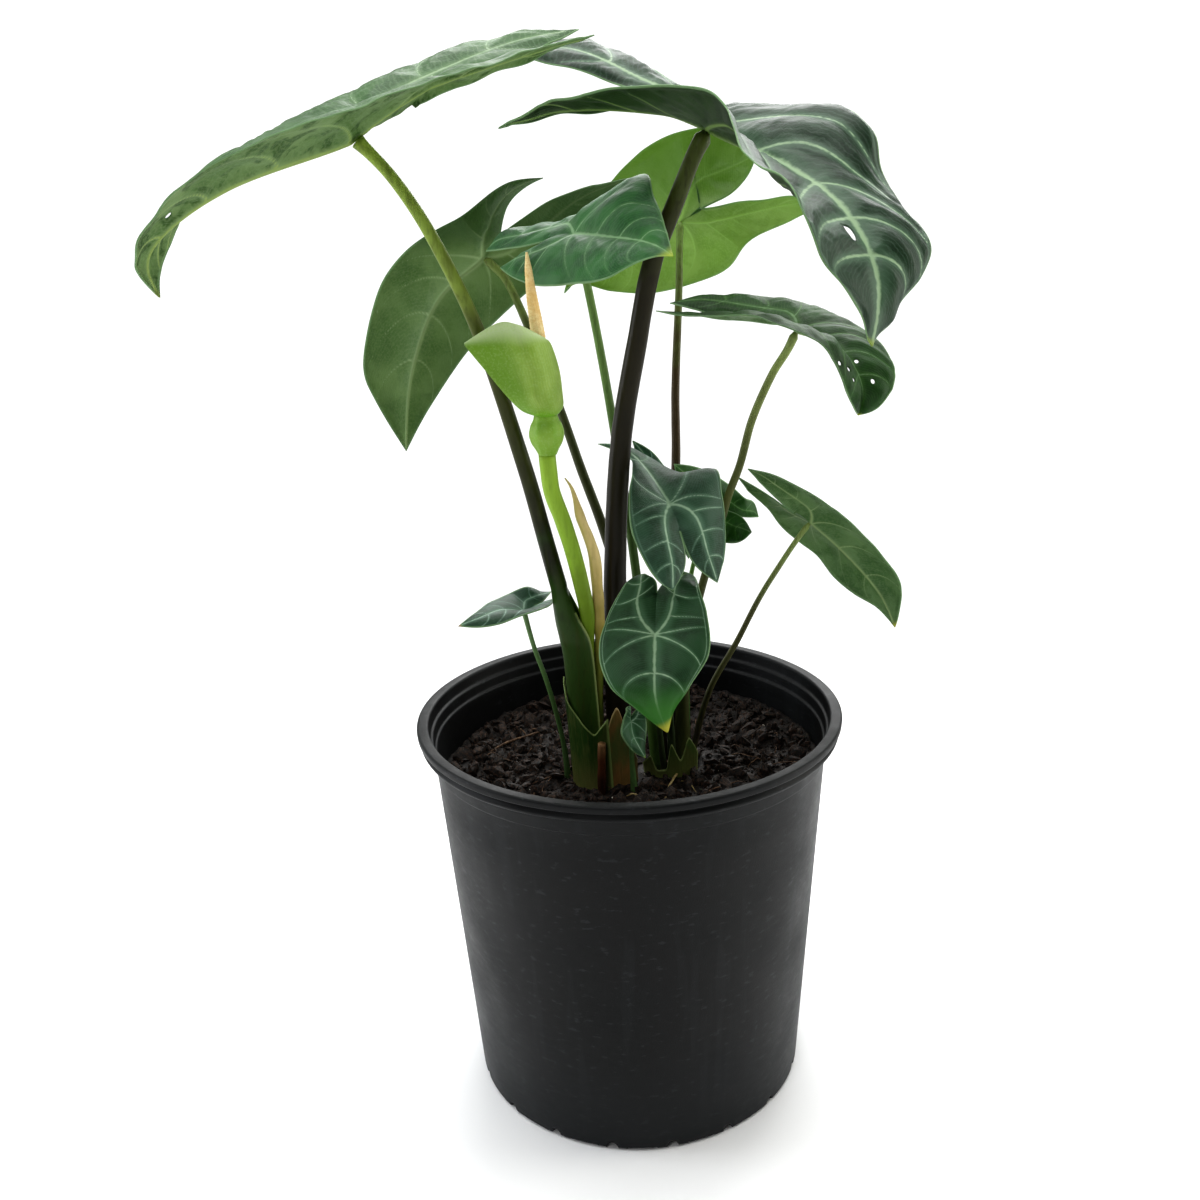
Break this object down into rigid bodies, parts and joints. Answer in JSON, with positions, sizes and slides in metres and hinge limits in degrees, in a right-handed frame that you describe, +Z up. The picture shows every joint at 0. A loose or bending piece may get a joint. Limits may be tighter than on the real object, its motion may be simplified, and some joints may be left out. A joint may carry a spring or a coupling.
{
  "type": "potted alocasia longiloba",
  "caption": "Potted aroid house plant with arrow-shaped, pale-veined leaves on long petioles and one inflorescence, in a round ribbed-rim nursery pot.",
  "frame": {"origin": "on the pot's axis, on the plane of its foot", "axes": "+Z up along the pot's axis; -Y towards the side that the plant shows best; +X to that side's right"},
  "size_m": [0.3296, 0.2841, 0.5544],
  "materials": {
    "pot_plastic": "satin black moulded polyethylene with a fine grain",
    "potting_soil": "damp loose peat with bark chips, root fibres and white perlite",
    "leaf_dark": "satin, dark blue-green above with silver-white veins and a pale margin",
    "leaf_young": "satin, fresh green",
    "petiole": "smooth, mottled brown and olive low down and yellow-green under the blade",
    "flower_stalk": "smooth yellow-green",
    "spathe": "soft satin pale green",
    "spadix": "matt golden tan",
    "sheath": "satin green with a thin pale margin",
    "dry_husk": "dry papery tan to red-brown",
    "crown": "matt brown rootstock"
  },
  "bodies": {
    "root": {"pot": "pot_plastic", "soil": "potting_soil", "crown_left": "crown", "crown_right": "crown", "leaf_01_blade": "leaf_dark", "leaf_01_petiole": "petiole", "leaf_02_blade": "leaf_dark", "leaf_02_petiole": "petiole", "leaf_03_blade": "leaf_dark", "leaf_03_petiole": "petiole", "leaf_04_blade": "leaf_dark", "leaf_04_petiole": "petiole", "leaf_05_blade": "leaf_dark", "leaf_05_petiole": "petiole", "leaf_06_blade": "leaf_dark", "leaf_06_petiole": "petiole", "leaf_07_blade": "leaf_dark", "leaf_07_petiole": "petiole", "leaf_08_blade": "leaf_dark", "leaf_08_petiole": "petiole", "leaf_09_blade": "leaf_dark", "leaf_09_petiole": "petiole", "leaf_10_blade": "leaf_dark", "leaf_10_petiole": "petiole", "leaf_11_blade": "leaf_young", "leaf_11_petiole": "petiole", "leaf_12_blade": "leaf_young", "leaf_12_petiole": "petiole", "leaf_13_blade": "leaf_young", "leaf_13_petiole": "petiole", "peduncle": "flower_stalk", "cataphyll": "dry_husk", "spathe": "spathe", "spadix": "spadix", "sheath_left": "sheath", "old_sheath_left": "dry_husk", "sheath_right": "sheath", "cut_stub": "dry_husk"}
  },
  "joints": []
}
